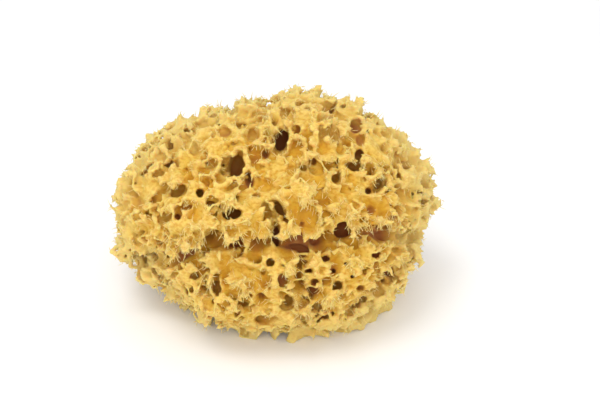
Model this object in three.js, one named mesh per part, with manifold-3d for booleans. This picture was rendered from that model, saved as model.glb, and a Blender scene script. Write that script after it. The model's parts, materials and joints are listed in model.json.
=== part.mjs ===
// A natural bath sponge: the dried, cleaned skeleton of a wool sponge, grown as one rounded mass
// and cut off flat where it sat on the rock. Millimetres, +Z up, standing on the cut face.
// The mass is one solid: a lumpy egg shape on a low foot, with the folds and larger pores sunk into it.
import * as THREE from "three";
import { mergeVertices } from "three/addons/utils/BufferGeometryUtils.js";
import Module from "manifold-3d";

const wasm = await Module();
wasm.setup();

// ---- Driving dimensions ----
const HALF_WIDTH = 71; // along X, before the lobes are added
const HALF_DEPTH = 57; // along Y
const HALF_HEIGHT = 51; // of the whole egg, before it is cut
const CUT_BELOW_MIDDLE = 42; // how far below its middle the egg is cut off flat
const FRONT_TILT = THREE.MathUtils.degToRad(30); // the front face looks this far above level
const BODY_DETAIL = 12; // subdivisions of the egg's surface: facets of about 6 mm

const LOBES = 150; // rounded swellings, spread evenly over the egg
const LOBE_RADIUS = 15; // from a lobe's top to its foot
const LOBE_HEIGHT = 4; // of the tallest lobe

const FOOT = { x: 6, y: -3, halfWidth: 49, halfDepth: 39, height: 8, sides: 40 }; // skin left at the cut

const PORE_SIDES = 8;
const PORE_FLOOR = 0.6; // a pore's width near its floor, as a share of its mouth
const PORE_LEAN = 0.5; // how far the front pores lean from square to the surface towards straight ahead

const half = new THREE.Vector3(HALF_WIDTH, HALF_DEPTH, HALF_HEIGHT);
const ahead = new THREE.Vector3(0, -Math.cos(FRONT_TILT), Math.sin(FRONT_TILT)); // out of the front face
const upward = new THREE.Vector3(0, Math.sin(FRONT_TILT), Math.cos(FRONT_TILT)); // up along it

// ---- Places on the egg ----
// A place on the front is given as seen looking square at it: across to the right of the middle
// and up from it. The line of sight then meets the egg there.
function frontPlace(across, up) {
  const start = new THREE.Vector3(across, 0, 0).addScaledVector(upward, up).divide(half);
  const along = ahead.clone().negate().divide(half);
  const a = along.dot(along);
  const b = start.dot(along);
  const c = Math.min(start.dot(start) - 1, 0);
  const reach = (-b - Math.sqrt(Math.max(b * b - a * c, 0))) / a;
  return start.addScaledVector(along, reach).normalize().multiply(half);
}

// A place anywhere, by its angle round the egg from the front and its angle above the middle.
function roundPlace(turn, above) {
  const t = THREE.MathUtils.degToRad(turn);
  const r = THREE.MathUtils.degToRad(above);
  return new THREE.Vector3(Math.sin(t) * Math.cos(r), -Math.cos(t) * Math.cos(r), Math.sin(r)).multiply(half);
}

function outwardAt(place) {
  return place.clone().divide(half).divide(half).normalize();
}

// ---- The lumpy egg ----
// The larger swellings and hollows of the front: across, up, radius and height.
const FRONT_LOBES = [
  [30, 40, 45, 7],
  [68, 22, 26, 3],
  [66, -14, 30, -4],
  [-50, -36, 42, -5],
  [-16, -52, 18, -3],
  [-19, 12, 15, 4],
  [13, 12, 15, 4],
  [32, 7, 18, 4],
  [45, -1, 17, 5],
  [11, 0, 15, 4],
  [-8, -4, 15, 4],
  [-34, 3, 18, 4],
  [-38, -9, 15, 4],
  [-15, -8, 15, 4],
  [-25, -22, 14, -4],
  [2, -19, 12, -3],
  [32, -16, 14, -4],
  [-4, -31, 20, 4],
  [-24, -37, 16, 3],
  [13, -42, 14, 3],
  [40, -24, 16, 3],
  [58, -19, 15, 3],
];

// Directions spread evenly over a sphere, by the golden angle.
function evenDirection(index, count) {
  const goldenAngle = Math.PI * (3 - Math.sqrt(5));
  const level = 1 - (2 * index + 1) / count;
  const ring = Math.sqrt(1 - level * level);
  const turn = index * goldenAngle;
  return new THREE.Vector3(Math.cos(turn) * ring, Math.sin(turn) * ring, level);
}

const lobes = [
  ...Array.from({ length: LOBES }, (_, i) => ({
    top: evenDirection(i, LOBES).multiply(half),
    radius: LOBE_RADIUS,
    height: LOBE_HEIGHT * (0.6 + 0.4 * Math.sin(i * 12.9)),
  })),
  ...FRONT_LOBES.map(([across, up, radius, height]) => ({ top: frontPlace(across, up), radius, height })),
];

// How far the lobes raise a place: each is a smooth hump, full at its top and nothing from its foot on.
function rise(place) {
  return lobes.reduce((sum, { top, radius, height }) => {
    const share = place.distanceTo(top) / radius;
    return share < 1 ? sum + height * (1 - share * share) ** 2 : sum;
  }, 0);
}

function raised(place) {
  return place.clone().addScaledVector(outwardAt(place), rise(place));
}

function lumpyEgg() {
  const egg = new THREE.IcosahedronGeometry(1, BODY_DETAIL);
  const position = egg.attributes.position;
  const direction = new THREE.Vector3();
  for (let i = 0; i < position.count; i++) {
    const place = raised(direction.fromBufferAttribute(position, i).normalize().multiply(half));
    position.setXYZ(i, place.x, place.y, place.z);
  }
  return egg;
}

// The smooth skin that is left round the cut: a low foot, standing out at the front and right.
function foot() {
  return new THREE.CylinderGeometry(1, 0.96, FOOT.height, FOOT.sides)
    .rotateX(Math.PI / 2)
    .scale(FOOT.halfWidth, FOOT.halfDepth, 1)
    .translate(FOOT.x, FOOT.y, -CUT_BELOW_MIDDLE + FOOT.height / 2);
}

// ---- Pores: tapered blind canals with a rounded floor ----
// Pores on the front, where the largest ones open: across, up, width, height and depth.
const FRONT_PORES = [
  [3, 34, 8, 14, 20],
  [-18, 22, 8, 14, 20],
  [-11, 38, 6, 5, 12],
  [-24, 40, 10, 6, 9],
  [22, 39, 5, 9, 12],
  [38, 42, 7, 7, 8],
  [28, 18, 5, 5, 14],
  [36, 23, 8, 5, 14],
  [47, 15, 5, 8, 14],
  [15, 20, 8, 8, 9],
  [-44, 12, 8, 5, 14],
  [-35, 11, 5, 5, 14],
  [-38, 32, 6, 8, 11],
  [-53, 27, 7, 6, 9],
  [-53, 20, 7, 5, 9],
  [-30, 24, 7, 6, 9],
  [-50, 0, 8, 5, 12],
  [-18, 2, 10, 7, 18],
  [1, 3, 5, 9, 18],
  [1, -6, 5, 11, 18],
  [-28, -10, 10, 9, 16],
  [-17, -12, 8, 6, 14],
  [31, -6, 11, 10, 16],
  [-2, -22, 5, 5, 12],
  [16, -25, 6, 5, 14],
  [29, -32, 7, 5, 14],
  [6, -38, 5, 6, 14],
  [20, -43, 6, 6, 14],
  [-27, -32, 5, 8, 14],
  [-39, -30, 6, 7, 12],
  [53, -25, 7, 7, 10],
  [-12, -37, 5, 5, 12],
];

// Pores on the sides, the back and the top: turn from the front, rise, mouth width and depth.
const ROUND_PORES = [
  [85, 20, 9, 16],
  [100, -10, 8, 14],
  [75, -22, 7, 12],
  [125, 30, 10, 18],
  [135, 0, 9, 16],
  [150, -24, 8, 14],
  [165, 22, 11, 20],
  [180, -6, 9, 16],
  [195, 42, 9, 16],
  [205, 12, 10, 18],
  [215, -20, 8, 14],
  [235, 28, 9, 16],
  [250, -4, 9, 14],
  [268, 20, 8, 14],
  [285, -18, 7, 12],
  [150, 58, 9, 16],
  [230, 66, 10, 16],
  [60, 66, 9, 16],
  [320, 68, 8, 14],
];

// Canals of the inside that the flat cut laid open: place on the cut face, width and depth.
const CUT_PORES = [
  [-24, 8, 8, 14],
  [20, 12, 9, 16],
  [2, -20, 7, 12],
  [-6, 24, 6, 12],
  [30, -12, 6, 10],
  [-30, -14, 6, 10],
];

// The low arch in the foot's front edge.
const ARCH = { x: -2, middle: 2, width: 11, height: 7, depth: 12 };

function poreCutter(width, height, depth) {
  const proud = 6; // the cutter starts this far outside the surface
  const outline = [
    [0, -depth],
    [0.5 * PORE_FLOOR, -0.8 * depth],
    [0.5, -0.1 * depth],
    [0.7, proud],
    [0, proud],
  ].map(([radius, level]) => new THREE.Vector2(radius, level));
  return new THREE.LatheGeometry(outline, PORE_SIDES).scale(width, 1, height);
}

// Turns a cutter, made about its own Y, to stand on the surface with its Z side uppermost.
function standAt(cutter, place, outward) {
  const up = Math.abs(outward.z) > 0.95 ? new THREE.Vector3(0, 1, 0) : new THREE.Vector3(0, 0, 1);
  const side = new THREE.Vector3().crossVectors(outward, up).normalize();
  const top = new THREE.Vector3().crossVectors(side, outward);
  return cutter.applyMatrix4(new THREE.Matrix4().makeBasis(side, outward, top).setPosition(place));
}

function pores() {
  const front = FRONT_PORES.map(([across, up, width, height, depth]) => {
    const place = frontPlace(across, up);
    const axis = outwardAt(place).lerp(ahead, PORE_LEAN).normalize();
    return standAt(poreCutter(width, height, depth), raised(place), axis);
  });
  const round = ROUND_PORES.map(([turn, above, width, depth]) => {
    const place = roundPlace(turn, above);
    return standAt(poreCutter(width, width, depth), raised(place), outwardAt(place));
  });
  const underneath = CUT_PORES.map(([x, y, width, depth]) => {
    const place = new THREE.Vector3(x, y, -CUT_BELOW_MIDDLE);
    return standAt(poreCutter(width, width, depth), place, new THREE.Vector3(0, 0, -1));
  });
  return [...front, ...round, ...underneath, arch()];
}

function arch() {
  const place = new THREE.Vector3(ARCH.x, FOOT.y - FOOT.halfDepth, -CUT_BELOW_MIDDLE + ARCH.middle);
  return standAt(poreCutter(ARCH.width, ARCH.height, ARCH.depth), place, new THREE.Vector3(0, -1, 0));
}

// ---- Folds: long furrows between the lobes, by the places that they pass ----
const onFront = ([across, up]) => raised(frontPlace(across, up));
const allRound = ([turn, above]) => raised(roundPlace(turn, above));

const FRONT_FOLD = [[-70, -22], [-45, -19], [-28, -13], [-8, -13], [12, -14], [31, -8], [50, -9], [70, -9]];
const GULLY = [[12, -14], [14, -22], [11, -32], [16, -48]]; // runs down from the middle of the front fold
const BACK_FOLD = [[110, 12], [135, 16], [160, 4], [190, 8], [220, -4], [245, 10]];
const TOP_FOLD = [[165, 35], [190, 55], [200, 80], [60, 82]];

const FOLDS = [
  { width: 9, places: FRONT_FOLD.map(onFront) },
  { width: 7, places: GULLY.map(onFront) },
  { width: 9, places: BACK_FOLD.map(allRound) },
  { width: 7, places: TOP_FOLD.map(allRound) },
];

function foldCutter({ width, places }) {
  const path = new THREE.CatmullRomCurve3(places);
  const section = new THREE.Shape().absarc(0, 0, width / 2, 0, 2 * Math.PI);
  return new THREE.ExtrudeGeometry(section, {
    extrudePath: path,
    steps: Math.ceil(path.getLength() / width),
    curveSegments: 4,
    bevelEnabled: false,
  });
}

// ---- Joining and cutting ----
function toSolid(geometry) {
  const bare = geometry.clone();
  bare.deleteAttribute("normal");
  bare.deleteAttribute("uv");
  const merged = mergeVertices(bare, 1e-4);
  const solid = new wasm.Manifold(
    new wasm.Mesh({
      numProp: 3,
      vertProperties: new Float32Array(merged.attributes.position.array),
      triVerts: new Uint32Array(merged.index.array),
    }),
  );
  if (solid.volume() < 0) throw new Error("a cutter is inside out");
  return solid;
}

function toGeometry(solid) {
  const mesh = solid.getMesh();
  const geometry = new THREE.BufferGeometry();
  geometry.setAttribute("position", new THREE.BufferAttribute(mesh.vertProperties, mesh.numProp));
  geometry.setIndex(new THREE.BufferAttribute(mesh.triVerts, 1));
  geometry.computeVertexNormals();
  return geometry;
}

// The block that takes away all of the egg below the cut.
function rockSide() {
  const size = 4 * HALF_WIDTH;
  return new THREE.BoxGeometry(size, size, size).translate(0, 0, -CUT_BELOW_MIDDLE - size / 2);
}

function spongeBody() {
  let solid = toSolid(lumpyEgg()).subtract(toSolid(rockSide())).add(toSolid(foot()));
  for (const cutter of [...FOLDS.map(foldCutter), ...pores()]) solid = solid.subtract(toSolid(cutter));
  const geometry = toGeometry(solid);
  // The origin is the middle of the cut face's level, under the middle of the whole sponge.
  geometry.computeBoundingBox();
  const middle = geometry.boundingBox.getCenter(new THREE.Vector3());
  geometry.translate(-middle.x, -middle.y, -geometry.boundingBox.min.z);
  return geometry;
}

const spongeTissue = new THREE.MeshStandardMaterial({ color: 0xdfb765, roughness: 0.9, metalness: 0 });

const sponge = new THREE.Mesh(spongeBody(), spongeTissue);
sponge.name = "sponge";

const group = new THREE.Group();
group.add(sponge);
export default group;
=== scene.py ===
# %% [markdown]
# # A natural bath sponge
#
# A wool sponge is the cleaned skeleton of an animal: springy fibres woven into a rounded mass, full
# of canals. Its outside is nearly all hollows. Where two hollows meet, the tissue between them ends in
# a thin crest, and along the crests the fibres stand out as small tufts and combs.
#
# Pushing the points of a mesh about can't make canals, overhangs and see-through loops. So the sponge
# is made as a *field* first: a block of numbers that says, for every point in space, how far it is
# from the surface. Carving a hole out of a field or joining a lobe to it is one line of arithmetic,
# and nothing can tear. At the end one closed mesh is drawn from the field, and fine fibres are set on
# its crests.
#
# The block model from the CAD step gives the size, the flat cut underneath, the folds and the canals
# on the sides and back. Lengths are in millimetres until a mesh is made.

# %% Start: the fixed frame
import json
import math

import bpy
import numpy as np
import openvdb
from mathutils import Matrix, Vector
from mathutils.kdtree import KDTree

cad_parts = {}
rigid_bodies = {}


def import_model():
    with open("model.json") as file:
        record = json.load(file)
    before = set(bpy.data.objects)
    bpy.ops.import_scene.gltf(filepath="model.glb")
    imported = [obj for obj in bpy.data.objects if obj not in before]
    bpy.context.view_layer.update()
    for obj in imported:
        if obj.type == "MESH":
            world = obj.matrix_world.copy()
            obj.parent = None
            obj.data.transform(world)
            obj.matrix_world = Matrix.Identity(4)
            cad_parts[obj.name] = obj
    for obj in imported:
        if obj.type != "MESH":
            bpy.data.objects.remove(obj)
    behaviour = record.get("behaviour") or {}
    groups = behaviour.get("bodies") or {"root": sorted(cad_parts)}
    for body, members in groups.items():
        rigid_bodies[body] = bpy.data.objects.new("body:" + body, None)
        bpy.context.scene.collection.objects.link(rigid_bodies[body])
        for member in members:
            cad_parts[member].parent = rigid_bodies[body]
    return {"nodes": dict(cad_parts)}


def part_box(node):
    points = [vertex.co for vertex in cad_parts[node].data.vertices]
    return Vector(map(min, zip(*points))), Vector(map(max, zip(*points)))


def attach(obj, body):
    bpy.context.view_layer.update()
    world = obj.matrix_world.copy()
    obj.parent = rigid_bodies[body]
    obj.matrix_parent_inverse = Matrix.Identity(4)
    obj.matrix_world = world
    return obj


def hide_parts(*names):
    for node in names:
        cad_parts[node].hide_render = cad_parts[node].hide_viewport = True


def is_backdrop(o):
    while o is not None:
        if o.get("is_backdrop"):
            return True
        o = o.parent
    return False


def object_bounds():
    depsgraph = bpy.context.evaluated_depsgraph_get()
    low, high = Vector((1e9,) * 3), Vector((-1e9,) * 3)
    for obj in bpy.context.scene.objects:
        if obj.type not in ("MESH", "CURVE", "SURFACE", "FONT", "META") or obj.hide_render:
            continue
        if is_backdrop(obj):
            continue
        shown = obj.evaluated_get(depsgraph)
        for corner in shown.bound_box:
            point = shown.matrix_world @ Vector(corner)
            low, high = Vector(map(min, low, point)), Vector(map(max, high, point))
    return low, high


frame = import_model()
cad_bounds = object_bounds()
low, high = (np.array(corner) * 1000 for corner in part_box("sponge"))
print(f"sponge in the frame: {np.round(high - low, 1)} mm")

# %% [markdown]
# ## The camera
#
# The sponge is seen from the front and about 30 degrees above, through a long lens, so that its near
# and far edges keep nearly the same scale. The camera comes first, because some pores are placed by
# where they are seen. Three directions describe the view: *ahead* comes out of the front towards the
# camera, *upward* is up in the picture, and *across* is to the right.

# %% Camera
FRONT_TILT = math.radians(30)
AHEAD = np.array([0, -math.cos(FRONT_TILT), math.sin(FRONT_TILT)])
UPWARD = np.array([0, math.sin(FRONT_TILT), math.cos(FRONT_TILT)])
ACROSS = np.array([1.0, 0.0, 0.0])
LENS = 85  # mm, a portrait lens
DISTANCE = 658  # mm
MIDDLE_HEIGHT = 42.0  # mm, of the egg shape above its cut foot
MIDDLE = np.array([(low[0] + high[0]) / 2, (low[1] + high[1]) / 2, MIDDLE_HEIGHT])
AIM = MIDDLE + 11.8 * ACROSS + 8.0 * UPWARD  # so that the sponge lies a little left of and below the centre

camera = bpy.data.objects.new("camera", bpy.data.cameras.new("camera"))
camera.data.lens = LENS
camera.location = (AIM + DISTANCE * AHEAD) / 1000
camera.rotation_euler = Vector(AHEAD).to_track_quat("Z", "Y").to_euler()
bpy.context.scene.collection.objects.link(camera)
bpy.context.scene.camera = camera
print("camera at", [round(c, 3) for c in camera.location])

# %% [markdown]
# ## A grid, and noise on it
#
# The field is a block of numbers, one for each small cube of space, a voxel. Smooth things, such as
# noise, are made on a coarse block and spread over the fine one with cubic splines. That is quick, and
# the result has no steps in it. Every random number comes from one seeded generator, so the sponge
# grows the same way each time.

# %% Grid
VOXEL = 0.5  # a little more than a fibre's thickness
MARGIN = 7  # mm of room for tufts round the block model
BELOW_FLOOR = 4.0
start = np.array([low[0] - MARGIN, low[1] - MARGIN, -BELOW_FLOOR])
stop = high + MARGIN
axes = [np.arange(start[i], stop[i], VOXEL, dtype=np.float64) for i in range(3)]
shape = tuple(len(a) for a in axes)
FAR = 30  # the distance that an empty block starts with
rng = np.random.default_rng(11)
print(f"grid {shape}, {np.prod(shape) / 1e6:.1f} million voxels")


# %% Spreading and noise
def spread(coarse, first, step):
    """Lays a coarse block of values smoothly over the fine grid, by cubic splines along each axis."""
    for axis in range(3):
        place = np.clip((axes[axis] - first[axis]) / step, 1, coarse.shape[axis] - 2.001)
        left = np.floor(place).astype(int)
        t = (place - left).astype(np.float32)
        shares = ((1 - t) ** 3, 3 * t**3 - 6 * t**2 + 4, -3 * t**3 + 3 * t**2 + 3 * t + 1, t**3)
        line = [-1 if a == axis else 1 for a in range(3)]
        spread_once = 0
        for k, share in enumerate(shares):
            spread_once = spread_once + np.take(coarse, left + k - 1, axis) * (share / 6).reshape(line)
        coarse = spread_once
    return coarse


def noise(period):
    """Smooth random values with a spread of 1, whose bumps are about 1.5 periods apart."""
    count = [int((stop[i] - start[i]) / period) + 5 for i in range(3)]
    values = spread(rng.standard_normal(count).astype(np.float32), start - 2 * period, period)
    return values / values.std()


def sample(block, points):
    """The block's value at each point, from the nearest voxel."""
    index = np.rint((points - start) / VOXEL).astype(int)
    index = np.clip(index, 0, np.array(shape) - 1)
    return block[tuple(index.T)]


# %% [markdown]
# ## The form of the sponge
#
# The block model's surface becomes a coarse field, 1 mm to the voxel: negative inside the sponge,
# positive outside. Blurring it a little rounds off the facets. Blurring it a lot closes the pores,
# which gives the sponge's *envelope*. How far a point lies below the envelope says how deep in the
# tissue it is, and the colour needs that later.

# %% Form and envelope
COARSE = 1.0
FACET_BLUR = 1.1
ENVELOPE_BLUR = 5.5

cad = frame["nodes"]["sponge"].data
cad.calc_loop_triangles()
cad_points = np.array([v.co for v in cad.vertices]) * 1000
cad_triangles = np.array([t.vertices for t in cad.loop_triangles])
level_set = openvdb.FloatGrid.createLevelSetFromPolygons(
    cad_points.astype(np.float32),
    triangles=cad_triangles.astype(np.uint32),
    transform=openvdb.createLinearTransform(voxelSize=COARSE),
    exBandWidth=18,  # how many voxels out from the surface the distances are known
    inBandWidth=30,  # and how many voxels in
)
coarse_start = np.floor(start - 3).astype(int)
coarse_shape = (np.ceil(stop + 3).astype(int) - coarse_start + 1).tolist()
form = np.zeros(coarse_shape, np.float32)
level_set.copyToArray(form, ijk=tuple(int(i) for i in coarse_start))


def blurred(block, radius):
    """Blur by three running means along each axis, which together are nearly a bell curve."""
    reach = max(1, round((math.sqrt(4 * radius**2 + 1) - 1) / 2))  # voxels each way that a mean takes in
    width = 2 * reach + 1
    for axis in range(3):
        block = np.moveaxis(block, axis, 0)
        for _ in range(3):
            padded = np.concatenate([block[:1]] * (reach + 1) + [block] + [block[-1:]] * reach)
            total = np.cumsum(padded, 0, dtype=np.float32)
            block = (total[width:] - total[:-width]) / width
        block = np.moveaxis(block, 0, axis)
    return block


envelope = spread(blurred(form, ENVELOPE_BLUR), coarse_start, COARSE)
field = spread(blurred(form, FACET_BLUR), coarse_start, COARSE)
print(f"envelope from {envelope.min():.0f} to {envelope.max():.0f} mm")

# %% [markdown]
# ## A living skin
#
# Joining two fields is taking the lower of the two numbers at each voxel. Rounding the corner between
# them a little makes tissue that looks grown together rather than cut.
#
# On the front the block model's canals are filled in to 2 mm below the envelope, because the front
# gets its own, more exact ones. The filling fades out near the girth. Then the skin swells and sinks
# by a millimetre or so, and less with depth, so that this doesn't close the canals.

# %% Swelling
def smooth_low(a, b, k):
    """The lower of a and b, with the corner between them rounded over about k."""
    h = np.maximum(k - np.abs(a - b), 0) / k
    return np.minimum(a, b) - 0.25 * k * h * h


steps = [(a - m).astype(np.float32) for a, m in zip(axes, MIDDLE)]
across_of = steps[0][:, None, None]
up_of = (steps[1] * UPWARD[1])[None, :, None] + (steps[2] * UPWARD[2])[None, None, :]
ahead_of = (steps[1] * AHEAD[1])[None, :, None] + (steps[2] * AHEAD[2])[None, None, :]

FRONT_FILL = 2  # mm below the envelope
behind = np.clip(1.3 - ahead_of / 15, 0, 1)  # 0 on the front, 1 from just ahead of the middle backwards
field = smooth_low(field, envelope + FRONT_FILL + 8 * behind, 1.0)
near_skin = np.clip(1 + envelope / 4, 0, 1)
field += near_skin * (0.7 * noise(10) + 0.6 * noise(5))
skin = np.minimum(field, envelope + 1.5)  # the form with its folds and pores filled in
print(f"skin encloses {(skin < 0).sum() * VOXEL**3 / 1e6:.2f} litres")

# %% [markdown]
# ## One tool for holes and lobes
#
# Nearly every feature of a sponge is a finger of something: a canal is a finger of air, a lip is a
# finger of tissue. So one tool makes them all, a tapered capsule with a round end. It only touches the
# few voxels round it, which is why thousands of them take seconds.

# %% The capsule
def capsule(block, place, axis, depth, radius, end_radius, round_off=1.0, squeeze=1.0, wide_way=None):
    """Joins a tapered capsule into a block of distances; squeeze widens it along wide_way."""
    end = place + axis * depth
    reach = max(radius, end_radius) * max(squeeze, 1) + 2 * round_off + VOXEL
    first = np.clip(((np.minimum(place, end) - reach - start) / VOXEL).astype(int), 0, shape)
    last = np.clip(((np.maximum(place, end) + reach - start) / VOXEL).astype(int) + 2, 0, shape)
    if (last <= first).any():
        return
    part = tuple(slice(a, b) for a, b in zip(first, last))
    x, y, z = (axes[i][part[i]] - place[i] for i in range(3))
    x, y, z = x[:, None, None], y[None, :, None], z[None, None, :]
    along = np.clip((x * axis[0] + y * axis[1] + z * axis[2]) / depth, 0, 1)
    run = along * depth
    squared = (x - run * axis[0]) ** 2 + (y - run * axis[1]) ** 2 + (z - run * axis[2]) ** 2
    if wide_way is not None:
        sideways = x * wide_way[0] + y * wide_way[1] + z * wide_way[2]
        squared = squared - (1 - 1 / squeeze**2) * sideways**2
    distance = np.sqrt(np.maximum(squared, 0)) - (radius + (end_radius - radius) * along)
    block[part] = smooth_low(block[part], distance.astype(np.float32), round_off)


def empty_block():
    """A block with nothing in it yet."""
    return np.full(shape, FAR, np.float32)


def unit_vector(vector):
    """The vector's direction, with a length of 1."""
    return vector / np.linalg.norm(vector)


def rod(block, here, there, thickness, round_off):
    """Joins a straight rod between two places into a block."""
    length = np.linalg.norm(there - here)
    capsule(block, here, (there - here) / length, length, thickness, thickness, round_off)


# %% [markdown]
# ## Lines of sight
#
# The folds and pores on the front are placed by measuring: so far across and so far up from the middle
# of the sponge, as seen by the camera. A line of sight through that point meets the skin somewhere,
# and that is where the feature starts. It also runs in along the same line, so that one looks straight
# down it.

# %% Places on the front
SIGHT_STEPS = np.arange(110, -60, -0.4)  # mm from the middle, from in front of the sponge to behind it


def sight_line(across, up):
    """A point across and up from the middle, and the direction from it to the camera."""
    point = MIDDLE + across * ACROSS + up * UPWARD
    return point, unit_vector(AIM + DISTANCE * AHEAD - point)


def front_place(across, up):
    """Where the line of sight first meets the skin, or None beside the sponge."""
    point, towards = sight_line(across, up)
    line = point + SIGHT_STEPS[:, None] * towards
    inside = sample(skin, line) < 0
    return line[inside.argmax()] if inside.any() else None


print("the skin straight ahead is at", front_place(0, 0).round(1))

# %% [markdown]
# ## Lips
#
# On the real sponge, tongues of tissue hang over the long fold and over the larger pores like the
# brims of caps. Each is a capsule that leans out of the front and droops. They are gathered in a block
# of their own, roughened a little, and then joined to the form, so that each grows out of it in a soft
# hollow. The list was measured.

# %% Lips of the front
# Across, up, length and radius, in mm.
LIPS = [
    (-47, -12, 6, 4.5),
    (-39, -8, 7, 5),
    (-30, -3, 6, 5),
    (-21, -5, 6, 4.5),
    (-13, -7, 7, 4.5),
    (-6, -5, 7, 4.5),
    (-37, 3, 6, 5),
    (-21, 12, 6, 5),
    (-12, 10, 6, 4),
    (13, 13, 7, 5),
    (10, 1, 7, 5),
    (17, -1, 6, 4.5),
    (26, 8, 7, 5),
    (35, 7, 8, 5),
    (38, 0, 7, 4.5),
    (45, -2, 7, 5),
    (54, -3, 6, 4.5),
    (8, -19, 6, 4),
    (-5, -25, 6, 5),
    (-14, -28, 6, 5),
    (24, -34, 6, 4.5),
    (38, -17, 6, 5),
    (12, -38, 6, 4.5),
    (-32, -25, 6, 4.5),
    (0, 45, 5, 5),
    (14, 30, 5, 4.5),
    (-9, 30, 5, 4),
    (32, 29, 5, 4.5),
    (-28, 32, 5, 4.5),
    (-45, 20, 5, 4.5),
    (45, 25, 5, 4.5),
]
lips = empty_block()
for across, up, length, radius in LIPS:
    place = front_place(across, up)
    droop = unit_vector(0.75 * AHEAD - 0.66 * UPWARD + rng.normal(0, 0.1, 3))
    capsule(lips, place - AHEAD * radius * 0.8, droop, length, radius, radius * 0.6, 1.5)
lips += 0.6 * noise(4)
field = smooth_low(field, lips, 2.5)
skin = np.minimum(skin, lips + 0.5)
print(f"{len(LIPS)} lips")

# %% [markdown]
# ## The rim of the foot
#
# A sponge is cut from the rock that it grew on. Along the cut, low down at the front and right, the
# outer skin stands out as a plain rounded rim without hollows. It is a chain of rods along part of an
# ellipse, just inside the outline of the block model's flat foot.

# %% Foot rim
FOOT_MIDDLE = (6, -3)
RIM_WIDE = 48
RIM_DEEP = 34
RIM_HEIGHT = 3.5
RIM_THICKNESS = 3.6
rim = empty_block()
turns = np.radians(np.arange(-105, 31, 9))
rim_x = FOOT_MIDDLE[0] + RIM_WIDE * np.cos(turns)
rim_y = FOOT_MIDDLE[1] + RIM_DEEP * np.sin(turns)
rim_places = np.stack([rim_x, rim_y, np.full(len(turns), RIM_HEIGHT)], 1)
for here, there in zip(rim_places, rim_places[1:]):
    rod(rim, here, there, RIM_THICKNESS, 1.0)
rim += 0.4 * noise(5)
field = smooth_low(field, rim, 2.0)
skin = np.minimum(skin, rim)
print(f"foot rim of {len(turns)} places")

# %% [markdown]
# ## Loops at the edge
#
# At the left and right ends a few wisps of tissue bend round and join again, and one sees through
# them. Each loop is a ring of eight short rods, pushed out of round, set into the outermost skin at
# that height. The loops are kept aside for now, because nothing is to be carved out of them.

# %% Edge loops
# Across (the search starts there), up, the end that it is at, radius.
LOOPS = [(-55, -16, -1, 3.6), (-52, -21, -1, 2.8), (55, 6, 1, 3.0)]
LOOP_SINK = 4.5  # mm that the ring's inner side lies inside the skin
loops = empty_block()
for across, up, end_side, radius in LOOPS:
    while front_place(across, up) is not None:
        across += end_side * 0.5
    centre = front_place(across - end_side * 0.5, up) + end_side * ACROSS * (radius - LOOP_SINK)
    turns = np.arange(9) * math.pi / 4
    corners = centre + radius * (np.outer(np.cos(turns), ACROSS) + 0.8 * np.outer(np.sin(turns), UPWARD))
    corners[:8] += rng.normal(0, 0.2 * radius, (8, 3))
    corners[8] = corners[0]
    for here, there in zip(corners, corners[1:]):
        rod(loops, here, there, rng.uniform(0.6, 1.2), 0.8)
print(f"{len(LOOPS)} loops")

# %% [markdown]
# ## Hollows all over
#
# Water once flowed through the sponge, in by small pores and out by wide canals, and both ends of it
# are still open: shallow bowls, round canals that go down out of sight, and clefts where two canals
# run side by side just under the skin. Directions spread evenly over a ball, by the golden angle that
# a sunflower uses for its seeds, keep them from bunching. Each is then moved and tilted a little.

# %% Strewing hollows
def even_directions(count, scatter):
    """Directions spread evenly over a sphere by the golden angle, each then moved a little."""
    level = 1 - (2 * np.arange(count) + 1) / count
    ring = np.sqrt(1 - level**2)
    turn = np.arange(count) * math.pi * (3 - math.sqrt(5))
    directions = np.stack([np.cos(turn) * ring, np.sin(turn) * ring, level], 1)
    directions += rng.normal(0, scatter, directions.shape)
    return directions / np.linalg.norm(directions, axis=1)[:, None]


def way_down(block, places, step=1.5):
    """The direction in which the block's value falls fastest at each place."""
    slope = [sample(block, places - step * e) - sample(block, places + step * e) for e in np.eye(3)]
    slope = np.stack(slope, 1)
    return slope / np.maximum(np.linalg.norm(slope, axis=1)[:, None], 1e-6)


def skin_places(directions):
    """Where a ray from the middle in each direction leaves the skin, and the way out there."""
    rays = directions * (high - low) / 2
    reach = np.full(len(rays), 0.3)  # of the half size, where a ray is never inside
    for share in np.arange(0.5, 1.35, 0.006):
        inside = sample(skin, MIDDLE + rays * share) < 0
        reach[inside] = share
    places = MIDDLE + rays * reach[:, None]
    return places, -way_down(skin, places, 2.5)


def strew(count, *, scatter, radius, depth, front_depth, sink, lean, round_off, end_share, patches=None):
    """Hollows spread over the whole skin; each pair of numbers is the range that a size is drawn from."""
    places, outward = skin_places(even_directions(count, scatter))
    made = 0
    for place, out in zip(places, outward):
        size = rng.uniform(*radius)
        long = rng.uniform(*(front_depth if out @ AHEAD > 0.45 else depth))
        down = rng.uniform(*sink)
        axis = unit_vector(-out + rng.normal(0, lean, 3))
        if place[2] < 2 or (patches is not None and sample(patches, place[None])[0] < 0.8):
            continue
        capsule(hollows, place - out * down * size, axis, long, size, size * end_share, round_off)
        made += 1
    return made


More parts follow.
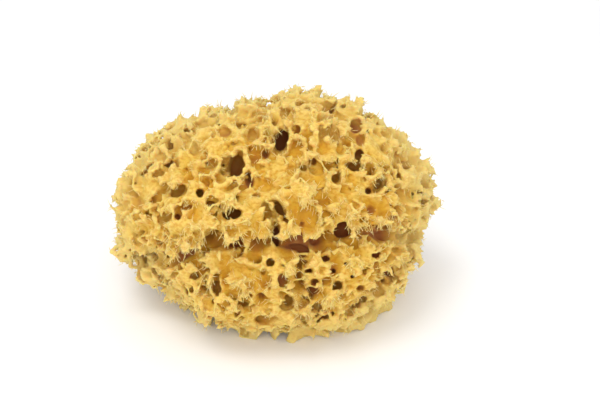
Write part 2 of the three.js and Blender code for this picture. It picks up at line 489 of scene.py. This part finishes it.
# %% Bowls, canals and clefts
hollows = empty_block()
bowls = strew(
    300,
    scatter=0.06,
    radius=(2.4, 4.6),
    depth=(2, 6),
    front_depth=(2, 6),
    sink=(-0.2, 0.4),
    lean=0.45,
    round_off=1.2,
    end_share=0.5,
)
canals = strew(
    330,
    scatter=0.05,
    radius=(1.1, 2.4),
    depth=(6, 12),
    front_depth=(4, 8),
    sink=(0, 1),
    lean=0.4,
    round_off=0.8,
    end_share=0.6,
)
clefts, outward = skin_places(even_directions(120, 0.05))
off_floor = clefts[:, 2] > 4
for place, out in zip(clefts[off_floor], outward[off_floor]):
    along_skin = unit_vector(np.cross(out, rng.normal(0, 1, 3)))
    long = rng.uniform(6, 14)
    capsule(hollows, place - out * 0.5, along_skin, long, rng.uniform(1.2, 2.4), 1.2, 1.5)
print(f"{bowls} bowls, {canals} canals, {off_floor.sum()} clefts")

# %% [markdown]
# The smallest pores, about 2 mm across, come in patches, and a broad noise says where. Roughening the
# whole block of hollows at once, before it is carved out, makes every one of them uneven.

# %% Small pores in patches
pits = strew(
    1300,
    scatter=0.02,
    radius=(0.8, 1.4),
    depth=(1.5, 4),
    front_depth=(1.5, 4),
    sink=(0, 2.5),
    lean=0.5,
    round_off=0.4,
    end_share=0.5,
    patches=noise(12),
)
hollows += 0.7 * noise(4) + 0.12 * noise(2.2)
print(f"{pits} small pores")

# %% [markdown]
# ## The front's own pores
#
# These are the canals that give this sponge its face, so they are listed one by one. Wider than high,
# or higher than wide, each is an oval funnel that may be tilted. The sizes are those of the dark
# opening, and the mouth round it is a sixth wider. It starts 2 mm in front of the skin, so that it
# cuts cleanly through it.

# %% Front pores
# Across, up, width and height in mm, tilt in degrees, depth in mm.
FRONT_PORES = [
    (3, 35, 6.5, 12, -12, 20),
    (-18, 22, 6.5, 13, -14, 20),
    (-10.5, 38, 4.5, 4.5, 0, 14),
    (-4.4, 29, 4, 4.5, 0, 9),
    (10, 40.6, 4, 4, 0, 6),
    (22, 39, 3.5, 7.5, 0, 10),
    (38, 42.5, 6, 6, 0, 5),
    (40, 36, 4, 5.5, -15, 7),
    (28, 18, 3.8, 3.8, 0, 14),
    (36.5, 23.5, 6.5, 4, -12, 16),
    (39, 27, 3, 6, 0, 9),
    (47.6, 14.6, 3.5, 7, -28, 14),
    (43.5, 12, 2.4, 2.4, 0, 12),
    (15, 19, 7, 6.5, 0, 6),
    (18, 26, 4, 4, 0, 6),
    (-44, 12.5, 3.8, 6.5, -45, 16),
    (-34.6, 11, 3.4, 3.6, 0, 15),
    (-38, 32, 4.5, 8, 20, 8),
    (-24.5, 40, 9, 5, -8, 6),
    (-53, 28, 6.5, 5, 0, 6),
    (-53, 21, 7, 4, 25, 6),
    (-30, 24, 6.5, 5.5, 0, 7),
    (-25, 18.5, 5.5, 5.5, 0, 8),
    (-12, 18.5, 2.5, 6, 10, 10),
    (-50, 0, 5.5, 3.8, 30, 12),
    (-45, 0, 2.4, 2.6, 0, 12),
    (-18, 2, 8, 5, 15, 20),
    (2.5, 3, 3.5, 9, 28, 18),
    (0.7, -6.7, 3.2, 10, -4, 18),
    (-28, -10.5, 8, 8, 0, 16),
    (-17.4, -11.4, 6.5, 5, 15, 15),
    (9.5, -14, 10, 2.6, -12, 16),
    (31, -5.5, 8.5, 9, 0, 15),
    (50, -8.6, 13, 4, -8, 12),
    (-43, -18, 11, 4, 25, 11),
    (-2, -21, 3.8, 3.8, 0, 11),
    (18, -11, 3.6, 3.6, 0, 12),
    (24, -19, 3.6, 3.6, 0, 10),
    (15.6, -25, 4, 3, 0, 15),
    (19.3, -30, 4, 3, 0, 14),
    (29, -32, 5, 3.5, 20, 15),
    (6.3, -38, 3.6, 4.2, 0, 15),
    (19.7, -42, 4, 4.6, -20, 15),
    (22, -46.7, 7.5, 2.5, 25, 12),
    (-26.7, -32, 3.5, 6.5, 8, 14),
    (-11.8, -36.5, 3.2, 3.2, 0, 11),
    (-39, -34, 4, 4, 0, 10),
    (3.5, -29, 4, 5, 0, 8),
    (53, -25, 5.5, 5.5, 0, 12),
    (47, -18, 4, 3.6, 0, 9),
    (36, -27.6, 3, 3, 0, 12),
    (27, -25, 3, 3, 0, 12),
    (33, -21.5, 2.4, 2.4, 0, 9),
    (17.4, -33.7, 4, 3.4, 0, 13),
    (-37.4, -27, 4, 3, 0, 10),
    (9.5, -22, 2.6, 2.6, 0, 8),
    (30, -17, 2.4, 2.4, 0, 9),
    (40, -33, 3, 2.6, 0, 10),
]
MOUTH = 7 / 6  # the mouth's width as a share of the dark opening's
START_AHEAD = 2
pores = empty_block()
for across, up, width, height, tilt, depth in FRONT_PORES:
    place = front_place(across, up)
    towards = sight_line(across, up)[1]
    radius = MOUTH * min(width, height) / 2
    turn = math.radians(tilt) + (math.pi / 2 if height > width else 0)
    wide_way = ACROSS * math.cos(turn) + UPWARD * math.sin(turn)
    stretch = max(width, height) / min(width, height)
    outside = place + towards * START_AHEAD
    long = 0.9 * depth + START_AHEAD
    capsule(pores, outside, -towards, long, radius, radius * 0.8, 0.8, stretch, wide_way)
pores += 0.35 * noise(3.5)
print(f"{len(FRONT_PORES)} pores on the front")

# %% [markdown]
# ## The long fold
#
# The sponge nearly grew as two: a deep fold runs right across the front under an overhanging upper
# half, and a gully runs down from its middle. Short fingers of air, a few millimetres apart, run in
# and upwards along two paths. Moving each a little up or down, varying its width and then roughening
# the lot more than the pores keeps the fold from looking sawn.

# %% Fold and gully
# Across and up, in mm.
FOLD = [(-62, -21), (-56, -20), (-45, -18), (-36, -14), (-28, -12), (-18, -13), (-8, -14), (2, -14)]
FOLD += [(12, -14), (20, -11), (31, -8), (40, -8), (50, -9), (60, -9), (65, -9)]
GULLY = [(12, -14), (13.5, -20), (12, -27), (11, -33), (14, -40), (16, -47)]
FOLD_DEPTH = 11
fold = empty_block()
inward = unit_vector(-0.85 * AHEAD + 0.5 * UPWARD)
for path, radius in ((FOLD, 4.4), (GULLY, 2.4)):
    for here, there in zip(path, path[1:]):
        for share in (0, 0.5):
            across, up = np.array(here) * (1 - share) + np.array(there) * share
            place = front_place(across, up + rng.uniform(-1.2, 1.2))
            wide = radius * rng.uniform(0.75, 1.15)
            capsule(fold, place + AHEAD, inward, FOLD_DEPTH, wide, wide * 0.6, 2.0)
fold += 0.7 * noise(4)
hollows = smooth_low(smooth_low(hollows, pores, 1.0), fold, 1.0)
hollows += 6 * np.clip(1.2 - rim / 2, 0, 1)  # keeps the hollows off the foot's rim
print(f"fold of {len(FOLD)} places, gully of {len(GULLY)}")

# %% [markdown]
# ## Walls and rooms
#
# The outer few millimetres of the sponge aren't solid: they are rooms about 8 mm wide between curved
# walls. Noise gives such walls for nothing. Wherever smooth noise passes through zero there is a
# curved sheet, which branches and closes round rooms much as tissue does, so the walls are the places
# where the noise is near zero. They are thin at the skin and thicken downwards. A second set of
# sheets, closer together, has its tops below the skin. These low walls divide the wider rooms.

# %% Walls and low walls
ROOM_PERIOD = 5.2
LOW_WALL_PERIOD = 3.4


def from_sheet(period):
    """About how many mm it is to the nearest sheet, where noise of that period is zero."""
    return 0.81 * period * np.abs(noise(period))


below = np.maximum(-skin, 0)  # mm under the skin
walls = from_sheet(ROOM_PERIOD) - np.maximum(1.6 + 0.6 * noise(11), 0.3) - 0.3 * below
room_depth = np.maximum(4.0 + 1.5 * noise(8) + 0.5 * noise(3), 1.0)
low_walls = from_sheet(LOW_WALL_PERIOD) - 0.75 - 0.15 * below
low_wall_tops = 1.5 + 0.6 * noise(5)  # mm under the skin
low_walls = np.maximum(low_walls, low_wall_tops - below)
walls = smooth_low(walls, low_walls, 1.0)
print(f"rooms {room_depth.min():.1f} to {room_depth.max():.1f} mm deep")

# %% [markdown]
# A canal on the front has a wall of its own round it, so that its mouth has a lip. Low on the front
# the rooms are shallower, and the rim of the foot has next to none. Every room gets a rounded floor,
# and then whatever is outside both walls and floors is taken away.

# %% Lips of the pores, and floors
CANAL_WALL = 1.7  # mm
calm = np.exp(-(((across_of - 5) / 42) ** 2) - ((up_of + 28) / 20) ** 2) * (ahead_of > 0)  # low on the front
calm = np.maximum(calm, np.clip(2.2 - rim / 2, 0, 1.6))  # and at the rim
walls = smooth_low(walls, pores - CANAL_WALL, 1.5)
tissue = smooth_low(walls, room_depth * (1 - 0.35 * calm) - below, 2.5)
field = -smooth_low(-field, -tissue, 0.6)
print(f"{(calm > 0.5).mean():.1%} of the block is calm")

# %% [markdown]
# The tops of the walls rise and fall, and that is what makes the outline look torn rather than round.
# They do so most along the girth, the widest way round between front and back. Then the hollows are
# cut out of all of it.

# %% Ragged tops, and the hollows cut out
girth = np.clip(1.2 - np.abs(ahead_of) / 35, 0, 1)
field += near_skin * ((0.35 + 0.4 * girth) * noise(2.6) + 0.9 * girth * noise(4))
field = -smooth_low(-field, hollows, 1.0)
print(f"tissue left: {(field < 0).sum() * VOXEL**3 / 1e6:.2f} litres")

# %% [markdown]
# ## Notches, teeth and strands
#
# A crest is where there is little tissue round a point. So the tissue is blurred, and the places on
# the surface where the blurred block is nearly empty are the crests. Small notches are cut into them
# and short blunt teeth set on them, each leaning outwards. Some neighbouring teeth are joined by a
# strand, as on the real thing. A grid of cubes a few millimetres wide thins the places out. The
# mouths of the front pores are mostly left clean.

# %% Finding crests
CREST_BLUR = 1.6  # mm
CREST = 0.28  # the share of tissue round a point, under which it is on a crest


def thinned(places, order, spacing):
    """Keeps the first place, in the given order, in each cube of that spacing."""
    cube = np.floor((places[order] + 500) / spacing).astype(np.int64)
    key = (cube[:, 0] * 4096 + cube[:, 1]) * 4096 + cube[:, 2]
    return order[np.unique(key, return_index=True)[1]]


def tissue_around():
    """For each voxel, the share of tissue in the few millimetres round it."""
    return blurred((field < 0).astype(np.float32), CREST_BLUR / VOXEL)


crowd = tissue_around()
edge = np.argwhere((np.abs(field) < 0.6 * VOXEL) & (crowd < CREST) & (np.abs(skin) < 3))
edge = edge[(edge[:, 2] * VOXEL + start[2] > 2) & (rim[tuple(edge.T)] > 1)]
clear_of_pores = pores[tuple(edge.T)] > 1.2
edge = edge[clear_of_pores | (rng.random(len(edge)) < 0.15)]
edge_places = edge * VOXEL + start
order = np.argsort(crowd[tuple(edge.T)] + rng.uniform(0, 0.12, len(edge)))
print(f"{len(edge)} crest voxels")

# %% Notches
SPACING = 3.2  # mm, of the notches and of the teeth
SHIFT = 1.1  # mm, so that the teeth aren't picked from the same cubes as the notches
notches = edge_places[thinned(edge_places, order, SPACING)]
rng.shuffle(order)
teeth_places = edge_places[thinned(edge_places + SHIFT, order, SPACING)]
gaps = empty_block()
for place, inwards in zip(notches, way_down(-crowd, notches)):
    capsule(gaps, place - inwards * 1.4, inwards, rng.uniform(0.8, 2.0), rng.uniform(0.6, 1.0), 0.5, 0.3)
field = -smooth_low(-field, gaps, 0.4)
print(f"{len(notches)} notches")

# %% Teeth
teeth = empty_block()
tips = []
for place, outwards in zip(teeth_places, way_down(crowd, teeth_places)):
    way = unit_vector(outwards + rng.normal(0, 0.4, 3))
    length = rng.uniform(0.4, 1.5)
    capsule(teeth, place - way, way, length + 1, rng.uniform(0.6, 0.9), 0.35, 0.4)
    tips.append(place + way * length)
print(f"{len(tips)} teeth")

# %% Strands between teeth
STRAND_RADIUS = 0.45
neighbours = KDTree(len(tips))
for i, tip in enumerate(tips):
    neighbours.insert(tip, i)
neighbours.balance()
strands = 0
for i, tip in enumerate(tips):
    for _, j, distance in neighbours.find_n(tip, 5):
        if j > i and 1.5 < distance < 4.5 and rng.random() < 0.15:
            rod(teeth, tip, tips[j], STRAND_RADIUS, 0.5)
            strands += 1
field = smooth_low(field, np.minimum(teeth, loops), 0.8)
print(f"{strands} strands between teeth")

# %% [markdown]
# ## One closed mesh
#
# A last faint roughness is added, and everything below the floor is cut off flat. The surface is drawn
# where the field passes through zero, as hundreds of thousands of quads, and now and then as a crumb
# that hangs in the air. Only the largest part that hangs together is kept, and a Decimate modifier
# thins it out where it is smooth.

# %% Drawing the surface
field += 0.06 * noise(1.6)
field = np.maximum(field, (-axes[2][None, None, :]).astype(np.float32))  # flat at z = 0
BAND = 3.0  # mm; further from the surface than this, the distance doesn't matter
grid = openvdb.FloatGrid(BAND)
grid.copyFromArray(np.clip(field, -BAND, BAND).astype(np.float32))
points, _, quads = grid.convertToPolygons(isovalue=0.0, adaptivity=0.0)
points = points * VOXEL + start
quads = quads[:, ::-1]  # so that the faces look outwards


def largest_part(count, faces):
    """Marks the points of the part that hangs together and has the most points."""
    label = np.arange(count)
    edges = np.concatenate([faces[:, [0, 1]], faces[:, [1, 2]], faces[:, [2, 3]]])
    while True:
        least = np.minimum(label[edges[:, 0]], label[edges[:, 1]])
        fresh = label.copy()
        np.minimum.at(fresh, edges[:, 0], least)
        np.minimum.at(fresh, edges[:, 1], least)
        fresh = fresh[fresh]
        if (fresh == label).all():
            break
        label = fresh
    values, sizes = np.unique(label, return_counts=True)
    return label == values[sizes.argmax()]


keep = largest_part(len(points), quads)
renumber = np.cumsum(keep) - 1
quads = renumber[quads[keep[quads[:, 0]]]]
points = points[keep]
print(f"{len(points)} points, {len(quads)} quads; {(~keep).sum()} loose points left out")


# %% The sponge's body
def mesh_object(name, points, faces):
    """A mesh object from points in mm and faces that all have the same number of corners."""
    mesh = bpy.data.meshes.new(name)
    mesh.vertices.add(len(points))
    mesh.vertices.foreach_set("co", (points / 1000).astype(np.float32).ravel())
    mesh.loops.add(faces.size)
    mesh.loops.foreach_set("vertex_index", faces.astype(np.int32).ravel())
    mesh.polygons.add(len(faces))
    mesh.polygons.foreach_set("loop_start", np.arange(len(faces), dtype=np.int32) * faces.shape[1])
    mesh.update(calc_edges=True)
    mesh.shade_smooth()
    piece = bpy.data.objects.new(name, mesh)
    bpy.context.scene.collection.objects.link(piece)
    return piece


BODY_TRIANGLES = 196000
body = mesh_object("sponge_body", points, quads)
thin = body.modifiers.new("thin", "DECIMATE")
thin.ratio = min(1, BODY_TRIANGLES / (2 * len(quads)))
evaluated = body.evaluated_get(bpy.context.evaluated_depsgraph_get())
body.data = bpy.data.meshes.new_from_object(evaluated)
body.modifiers.clear()
body.data.name = "sponge_body"
body.data.shade_smooth()
print(f"sponge_body: {len(body.data.polygons)} faces")

# %% [markdown]
# ## What each point knows
#
# A material can't tell a crest from the bottom of a canal by itself. So each point of the mesh gets a
# few numbers, as attributes: how deep it lies under the skin (for painted shade deeper down), the same
# again but counting a front canal's wall as 1.5 mm deeper (for painted shade there, as less light comes
# there), how much tissue there is round it (for painted light on thin crests), how far it is in front
# of or behind the girth (where the sponge is stained), and how near the girth it is (for a paler
# painted light on the outline, where light shines through thin tissue).

# %% Attributes
def give(piece, **values):
    """Stores one number for each of the piece's points, under a name that the material can read."""
    for name, numbers in values.items():
        attribute = piece.data.attributes.new(name, "FLOAT", "POINT")
        attribute.data.foreach_set("value", np.asarray(numbers, np.float32))


crowd = tissue_around()
vertices = np.zeros(len(body.data.vertices) * 3, np.float32)
body.data.vertices.foreach_get("co", vertices)
vertices = vertices.reshape(-1, 3) * 1000
depth = -sample(skin, vertices)
# Painted shade: a front canal's wall counts 1.5 mm deeper, so that it is painted darker there.
hidden = depth + 1.5 * np.clip(1.2 - sample(pores, vertices), 0, 1)
crest = sample(crowd, vertices)
from_girth = np.abs((vertices - MIDDLE) @ AHEAD)
stain = 0.8 * np.clip((from_girth + 8) / 45, 0.1, 1)  # full 37 mm from the girth
# Painted light: a paler khaki near the girth, where light shines through the thin tissue of the outline.
bleached = 0.5 * np.clip(1.1 - from_girth / 34, 0, 1)  # gone 37 mm from the girth
give(body, depth=depth, hidden=hidden, crest=crest, stain=stain, bleached=bleached)
print("depth in mm", np.percentile(depth, [1, 10, 50, 90, 99]).round(1))
print("tissue round a point", np.percentile(crest, [1, 10, 50, 90, 99]).round(2))

# %% [markdown]
# ## Loose fibres
#
# Wisps of fibres, 0.3 to 0.5 mm thick and a few millimetres long, stand out of the crests. They are
# finer than a voxel, so they can't be in the field. Hair curves would draw them, but they have no
# surface of their own to hand on, so each wisp is a real little mesh: a three-sided tapered tube that
# bends, closed at both ends. All those of a piece are made at once as one block of numbers.

# %% Helpers for fibres
SIDES = 3


def drawn(least, most, count):
    """That many numbers between least and most."""
    return rng.uniform(least, most, count)


def units(vectors):
    """The direction of each vector, with a length of 1."""
    return vectors / np.maximum(np.linalg.norm(vectors, axis=1)[:, None], 1e-6)


def tube_faces(segments):
    """The triangles of one closed tube: its sides, its tip and its root."""
    faces = []
    for s in range(segments - 1):
        for k in range(SIDES):
            a, b = s * SIDES + k, s * SIDES + (k + 1) % SIDES
            faces += [(a, b, b + SIDES), (a, b + SIDES, a + SIDES)]
    last, tip = (segments - 1) * SIDES, segments * SIDES
    faces += [(last + k, last + (k + 1) % SIDES, tip) for k in range(SIDES)]
    faces += [(0, k + 1, k) for k in range(1, SIDES - 1)]
    return np.array(faces)


print(f"a tube of 4 segments has {len(tube_faces(4))} triangles")


# %% A piece of fibres
def fibre_piece(name, *, roots, ways, lengths, radii, tip, bend, segments):
    """One piece of fibres: a tube from each root, along its way, bending more towards its tip."""
    pattern = tube_faces(segments)
    count = len(roots)
    helper = np.where(np.abs(ways[:, 2:3]) > 0.9, [[1.0, 0, 0]], [[0, 0, 1.0]])
    side = units(np.cross(ways, helper))
    top = np.cross(side, ways)
    share = np.linspace(0, 1, segments + 1)
    line = roots[:, None] + ways[:, None] * (lengths[:, None] * share)[:, :, None]
    line = line + bend[:, None] * (share**2)[None, :, None]
    width = radii[:, None] * (1 - share) ** 0.7 + tip * share
    angle = np.arange(SIDES) * 2 * math.pi / SIDES + drawn(0, math.pi, count)[:, None]
    ring = np.cos(angle)[:, :, None] * side[:, None] + np.sin(angle)[:, :, None] * top[:, None]
    rings = line[:, :-1, None] + ring[:, None] * width[:, :-1, None, None]
    corners = np.concatenate([rings.reshape(count, -1, 3), line[:, -1:]], 1)
    corners[:, :, 2] = np.maximum(corners[:, :, 2], 0.05)  # nothing goes below the floor
    offset = (np.arange(count) * corners.shape[1])[:, None, None]
    piece = mesh_object(name, corners.reshape(-1, 3), (pattern[None] + offset).reshape(-1, 3))
    give(piece, along=np.tile(np.append(np.repeat(share[:-1], SIDES), 1), count))
    print(f"{name}: {count} fibres, {len(piece.data.polygons)} triangles")
    return piece


# %% [markdown]
# Tufts stand where the tissue is thin and near the skin, but not on the floor, on the foot's rim or in
# the mouth of a front pore. Two wisps stand in each, leaning outwards with a good deal of scatter, and
# they are shared out over two pieces.

# %% Tufts on the crests
TUFT_SPACING = 5.2  # mm
PER_TUFT = 2
candidates = np.flatnonzero(sample(crowd, points) < 0.27)  # thinner still than a crest
candidates = candidates[(-sample(skin, points[candidates]) < 3.5) & (points[candidates, 2] > 2)]
free_of_rim = sample(rim, points[candidates]) > 1.5
candidates = candidates[free_of_rim & (sample(pores, points[candidates]) > 0.8)]
rng.shuffle(candidates)
tufts = points[thinned(points, candidates, TUFT_SPACING)]
rng.shuffle(tufts)
tuft_ways = units(way_down(crowd, tufts) + rng.normal(0, 0.35, tufts.shape))
which = np.repeat(np.arange(len(tufts)), PER_TUFT)
rng.shuffle(which)
half = len(which) // 2
fibre_pieces = []
for name, part in (("crest_fibres_a", which[:half]), ("crest_fibres_b", which[half:])):
    n = len(part)
    ways = units(tuft_ways[part] + rng.normal(0, 0.45, (n, 3)))
    roots = tufts[part] - tuft_ways[part] * 0.3 + rng.normal(0, 0.5, (n, 3))
    piece = fibre_piece(
        name,
        roots=roots,
        ways=ways,
        bend=rng.normal(0, 1.1, (n, 3)),
        lengths=drawn(0.7, 2.2, n),
        radii=drawn(0.14, 0.24, n),
        tip=0.07,
        segments=4,
    )
    fibre_pieces.append(piece)

# %% [markdown]
# Along the undersides of the lips the wisps hang close together, like the teeth of a comb. They grow
# wherever the mesh lies near a lip, the tissue is thin and the crest faces down and forwards.

# %% Combs under the lips
COMB_SPACING = 2.4  # mm
lip_points = np.flatnonzero((sample(lips, points) < 1.2) & (sample(crowd, points) < 0.42))
facing_down = way_down(crowd, points[lip_points]) @ (0.5 * AHEAD - UPWARD) > 0.35
hanging = lip_points[facing_down & (points[lip_points, 2] > 4)]
rng.shuffle(hanging)
combs = points[thinned(points, hanging, COMB_SPACING)]
rng.shuffle(combs)
n = len(combs)
droop = 0.35 * AHEAD - 0.75 * UPWARD
ways = units(0.45 * way_down(crowd, combs) + droop + rng.normal(0, 0.22, (n, 3)))
piece = fibre_piece(
    "lip_combs",
    roots=combs - ways * 0.4,
    ways=ways,
    bend=rng.normal(0, 1.0, (n, 3)),
    lengths=drawn(1.0, 3.8, n),
    radii=drawn(0.15, 0.26, n),
    tip=0.08,
    segments=5,
)
fibre_pieces.append(piece)

# %% [markdown]
# ## Materials: spongin
#
# A bath sponge is spongin, the same sort of stuff as horn and silk, sold as natural sea sponge. It was
# rinsed, trodden clean and bleached to a golden straw. It is matt, because its surface is a felt of
# fibres, but light goes a few millimetres into it, and that softens every shadow. So the shader is
# rough, with little gloss, and has subsurface scattering in which red travels further than blue.
#
# The colour is built in layers, each mixed in by one of the numbers that the points know: straw at
# the skin, going to amber and brown deeper under it as painted shade, patches of amber stain, a paler
# khaki near the girth as painted light for light shining through the thin outline, brown in the depth
# of the canals as painted shade, and cream on the thinnest crests as painted light shining through.

# %% Helpers for materials
def linear(hex_colour):
    """An sRGB hex colour as the linear numbers that Blender works in."""
    channels = [int(hex_colour[i : i + 2], 16) / 255 for i in (1, 3, 5)]
    return (*[c / 12.92 if c <= 0.04045 else ((c + 0.055) / 1.055) ** 2.4 for c in channels], 1.0)


def add(tree, kind, sockets, **settings):
    """Adds a node. Each socket gets a link if it is given an output, and otherwise the value."""
    node = tree.nodes.new(kind)
    for name, value in settings.items():
        setattr(node, name, value)
    for socket, value in sockets.items():
        if isinstance(value, bpy.types.NodeSocket):
            tree.links.new(value, node.inputs[socket])
        else:
            node.inputs[socket].default_value = value
    return node


def new_material(name, **values):
    """A material whose Principled shader has these values on its own sockets."""
    material = bpy.data.materials.new(name)
    material.use_nodes = True
    shader = material.node_tree.nodes["Principled BSDF"]
    for socket, value in values.items():
        shader.inputs[socket.replace("_", " ")].default_value = value
    return material, material.node_tree, shader


MIX_SHARE, MIX_UNDER, MIX_OVER, MIX_RESULT = 0, 6, 7, 2  # a colour Mix node's sockets, by number
print("straw in linear light:", [round(c, 3) for c in linear("#E6CA74")[:3]])

# %% Bleached sponge
sponge, tree, shader = new_material(
    "bleached_sea_sponge",
    Roughness=0.85,  # a felt of fibres
    IOR=1.45,  # a little under horn and silk, as it is full of air
    Specular_IOR_Level=0.15,
    Sheen_Weight=0.03,  # stray fibres catch the light at grazing angles
    Subsurface_Weight=0.6,
    Subsurface_Radius=(1.0, 0.55, 0.2),
    Subsurface_Scale=0.0028,  # light goes about 3 mm in
)
known = {
    name: add(tree, "ShaderNodeAttribute", {}, attribute_name=name).outputs["Fac"]
    for name in ("depth", "hidden", "crest", "stain", "bleached")
}
# Painted shade: straw at the skin is the tissue's own colour, and the amber and brown deeper under it stand
# in for shade in the hollows.
depth_shade_share = add(
    tree, "ShaderNodeMapRange", {"Value": known["depth"], "From Min": -3, "From Max": 17}
)
straw_and_depth_shade = add(tree, "ShaderNodeValToRGB", {"Fac": depth_shade_share.outputs["Result"]})
STRAW_TO_AMBER_SHADE = ((0, "#E6CA74"), (0.18, "#E0BE5C"), (0.32, "#D6A634"), (0.46, "#C58C2C"), (0.62, "#A8702E"))
stops = straw_and_depth_shade.color_ramp.elements
while len(stops) < len(STRAW_TO_AMBER_SHADE):
    stops.new(0.5)
for stop, (position, colour) in zip(stops, STRAW_TO_AMBER_SHADE):
    stop.position = position
    stop.color = linear(colour)
print(f"{sponge.name}: {len(stops)} stops from straw to amber")

# %% [markdown]
# The stain is noise in patches about 13 mm wide, of which only the stronger half shows. Each layer
# lies over the one before.

# %% Stain, painted rim light, painted shade in the canals and painted light on the crests
STAIN_WIDTH = 0.040 / 3  # metres: three patches in 40 mm
patches = add(tree, "ShaderNodeTexNoise", {"Scale": 1 / STAIN_WIDTH, "Detail": 3})
stain_share = add(
    tree,
    "ShaderNodeMapRange",
    {"Value": patches.outputs["Fac"], "From Min": 0.42, "From Max": 0.66, "To Max": known["stain"]},
)
# Painted shade: brown deep in the canals and on the front canals' walls.
canal_shade_share = add(tree, "ShaderNodeMapRange", {"Value": known["hidden"], "From Min": 4, "From Max": 8})
# Painted light: cream on the thinnest crests, where light shines through the thin tissue.
crest_light_share = add(
    tree, "ShaderNodeMapRange", {"Value": known["crest"], "From Min": 0.45, "From Max": 0.1, "To Max": 0.4}
)
# The stain is the tissue's own colour; the khaki is painted light, the brown painted shade and the cream
# painted light.
layers = (
    (stain_share.outputs["Result"], "#C88E26"),
    (known["bleached"], "#D8C484"),
    (canal_shade_share.outputs["Result"], "#AA6C3C"),
    (crest_light_share.outputs["Result"], "#EBD48C"),
)
so_far = straw_and_depth_shade.outputs["Color"]
for share, colour in layers:
    sockets = {MIX_SHARE: share, MIX_UNDER: so_far, MIX_OVER: linear(colour)}
    so_far = add(tree, "ShaderNodeMix", sockets, data_type="RGBA").outputs[MIX_RESULT]
tree.links.new(so_far, shader.inputs["Base Color"])
print(f"{len(layers)} layers of colour over the tissue's own")

# %% [markdown]
# The surface is a felt of fibres a few hundredths of a millimetre thick, too fine to model. It is
# drawn over ten times as coarse as that, about 0.6 mm, which is the least that shows.

# %% Felt
FELT_WIDTH = 0.000625  # metres
felt = add(tree, "ShaderNodeTexNoise", {"Scale": 1 / FELT_WIDTH, "Detail": 2})
felt_bump = add(
    tree, "ShaderNodeBump", {"Height": felt.outputs["Fac"], "Strength": 0.3, "Distance": 0.0003}
)
tree.links.new(felt_bump.outputs["Normal"], shader.inputs["Normal"])
print(f"felt every {FELT_WIDTH * 1000:.2f} mm")

# %% [markdown]
# A wisp of fibres is the same spongin with little behind it: smoother, and painted paler, and paler
# still towards its tip, as painted light for the light that shines through it. Light goes right
# through it, so it has more subsurface scattering over a much shorter way.

# %% Loose fibres
fibre, tree, shader = new_material(
    "loose_sponge_fibre",
    Roughness=0.7,  # single fibres catch the light a little more than felt
    IOR=1.45,
    Specular_IOR_Level=0.2,
    Subsurface_Weight=0.7,
    Subsurface_Radius=(1.0, 0.8, 0.5),
    Subsurface_Scale=0.0004,
)
along = add(tree, "ShaderNodeAttribute", {}, attribute_name="along").outputs["Fac"]
# Painted light: paler from root to tip, as light shines through the thin fibre.
so_far = linear("#E2BC5C")  # at the root, then half-way and at the tip
for least, most, colour in ((0, 0.5, "#EDD080"), (0.5, 1, "#F3DFA0")):
    share = add(tree, "ShaderNodeMapRange", {"Value": along, "From Min": least, "From Max": most})
    sockets = {MIX_SHARE: share.outputs["Result"], MIX_UNDER: so_far, MIX_OVER: linear(colour)}
    so_far = add(tree, "ShaderNodeMix", sockets, data_type="RGBA").outputs[MIX_RESULT]
tree.links.new(so_far, shader.inputs["Base Color"])
print(f"{fibre.name}: paler from root to tip")

# %% [markdown]
# ## Into the frame
#
# Every piece rides on the sponge's one body, so that it moves with it. The detailed body takes the
# place of the block model.

# %% Riding on the frame
body.data.materials.append(sponge)
for piece in fibre_pieces:
    piece.data.materials.append(fibre)
for piece in (body, *fibre_pieces):
    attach(piece, "root")
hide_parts("sponge")
print(f"{1 + len(fibre_pieces)} pieces ride on the frame")

# %% [markdown]
# ## Floor and light
#
# The sponge lies on plain white paper under soft, nearly shadowless light: a bright even sky, a round
# softbox above and a little to the left, and a second, larger one beside the camera that reaches into
# the canals.

# %% Floor
FLOOR_HALF = 3  # metres
corners = [(-FLOOR_HALF, -FLOOR_HALF, 0), (FLOOR_HALF, -FLOOR_HALF, 0), (FLOOR_HALF, FLOOR_HALF, 0)]
corners.append((-FLOOR_HALF, FLOOR_HALF, 0))
floor_mesh = bpy.data.meshes.new("floor")
floor_mesh.from_pydata(corners, [], [(0, 1, 2, 3)])
floor = bpy.data.objects.new("floor", floor_mesh)
bpy.context.scene.collection.objects.link(floor)
paper = new_material("matt_white_paper", Base_Color=linear("#FAFAFA"), Roughness=0.9, IOR=1.5)[0]
floor.data.materials.append(paper)
floor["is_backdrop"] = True
print(f"floor {2 * FLOOR_HALF} m wide")

# %% Light
world = bpy.data.worlds.new("studio")
world.use_nodes = True
world.node_tree.nodes["Background"].inputs["Color"].default_value = (1, 1, 1, 1)
world.node_tree.nodes["Background"].inputs["Strength"].default_value = 0.84
bpy.context.scene.world = world
bpy.context.scene.view_settings.view_transform = "Standard"

# Name, place in metres, width in metres, power in watts.
SOFTBOXES = (("key", (-0.25, -0.3, 1.05), 0.5, 3.3), ("fill", (0.1, -1.1, 0.75), 0.9, 5.2))
for name, place, width, power in SOFTBOXES:
    lamp = bpy.data.lights.new(name, "AREA")
    lamp.shape = "DISK"
    lamp.size = width
    lamp.energy = power
    softbox = bpy.data.objects.new(name, lamp)
    softbox.location = place
    softbox.rotation_euler = Vector(place).to_track_quat("Z", "Y").to_euler()
    bpy.context.scene.collection.objects.link(softbox)
print(f"{len(SOFTBOXES)} softboxes")

# %% [markdown]
# ## Size
#
# The finished sponge's box is printed beside the block model's, which shows how far the tufts stand
# proud of it.

# %% Size
visual_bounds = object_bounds()
sizes = {"cad": cad_bounds, "visual": visual_bounds}
sizes = {name: [[float(c) for c in corner] for corner in box] for name, box in sizes.items()}
print(sizes)
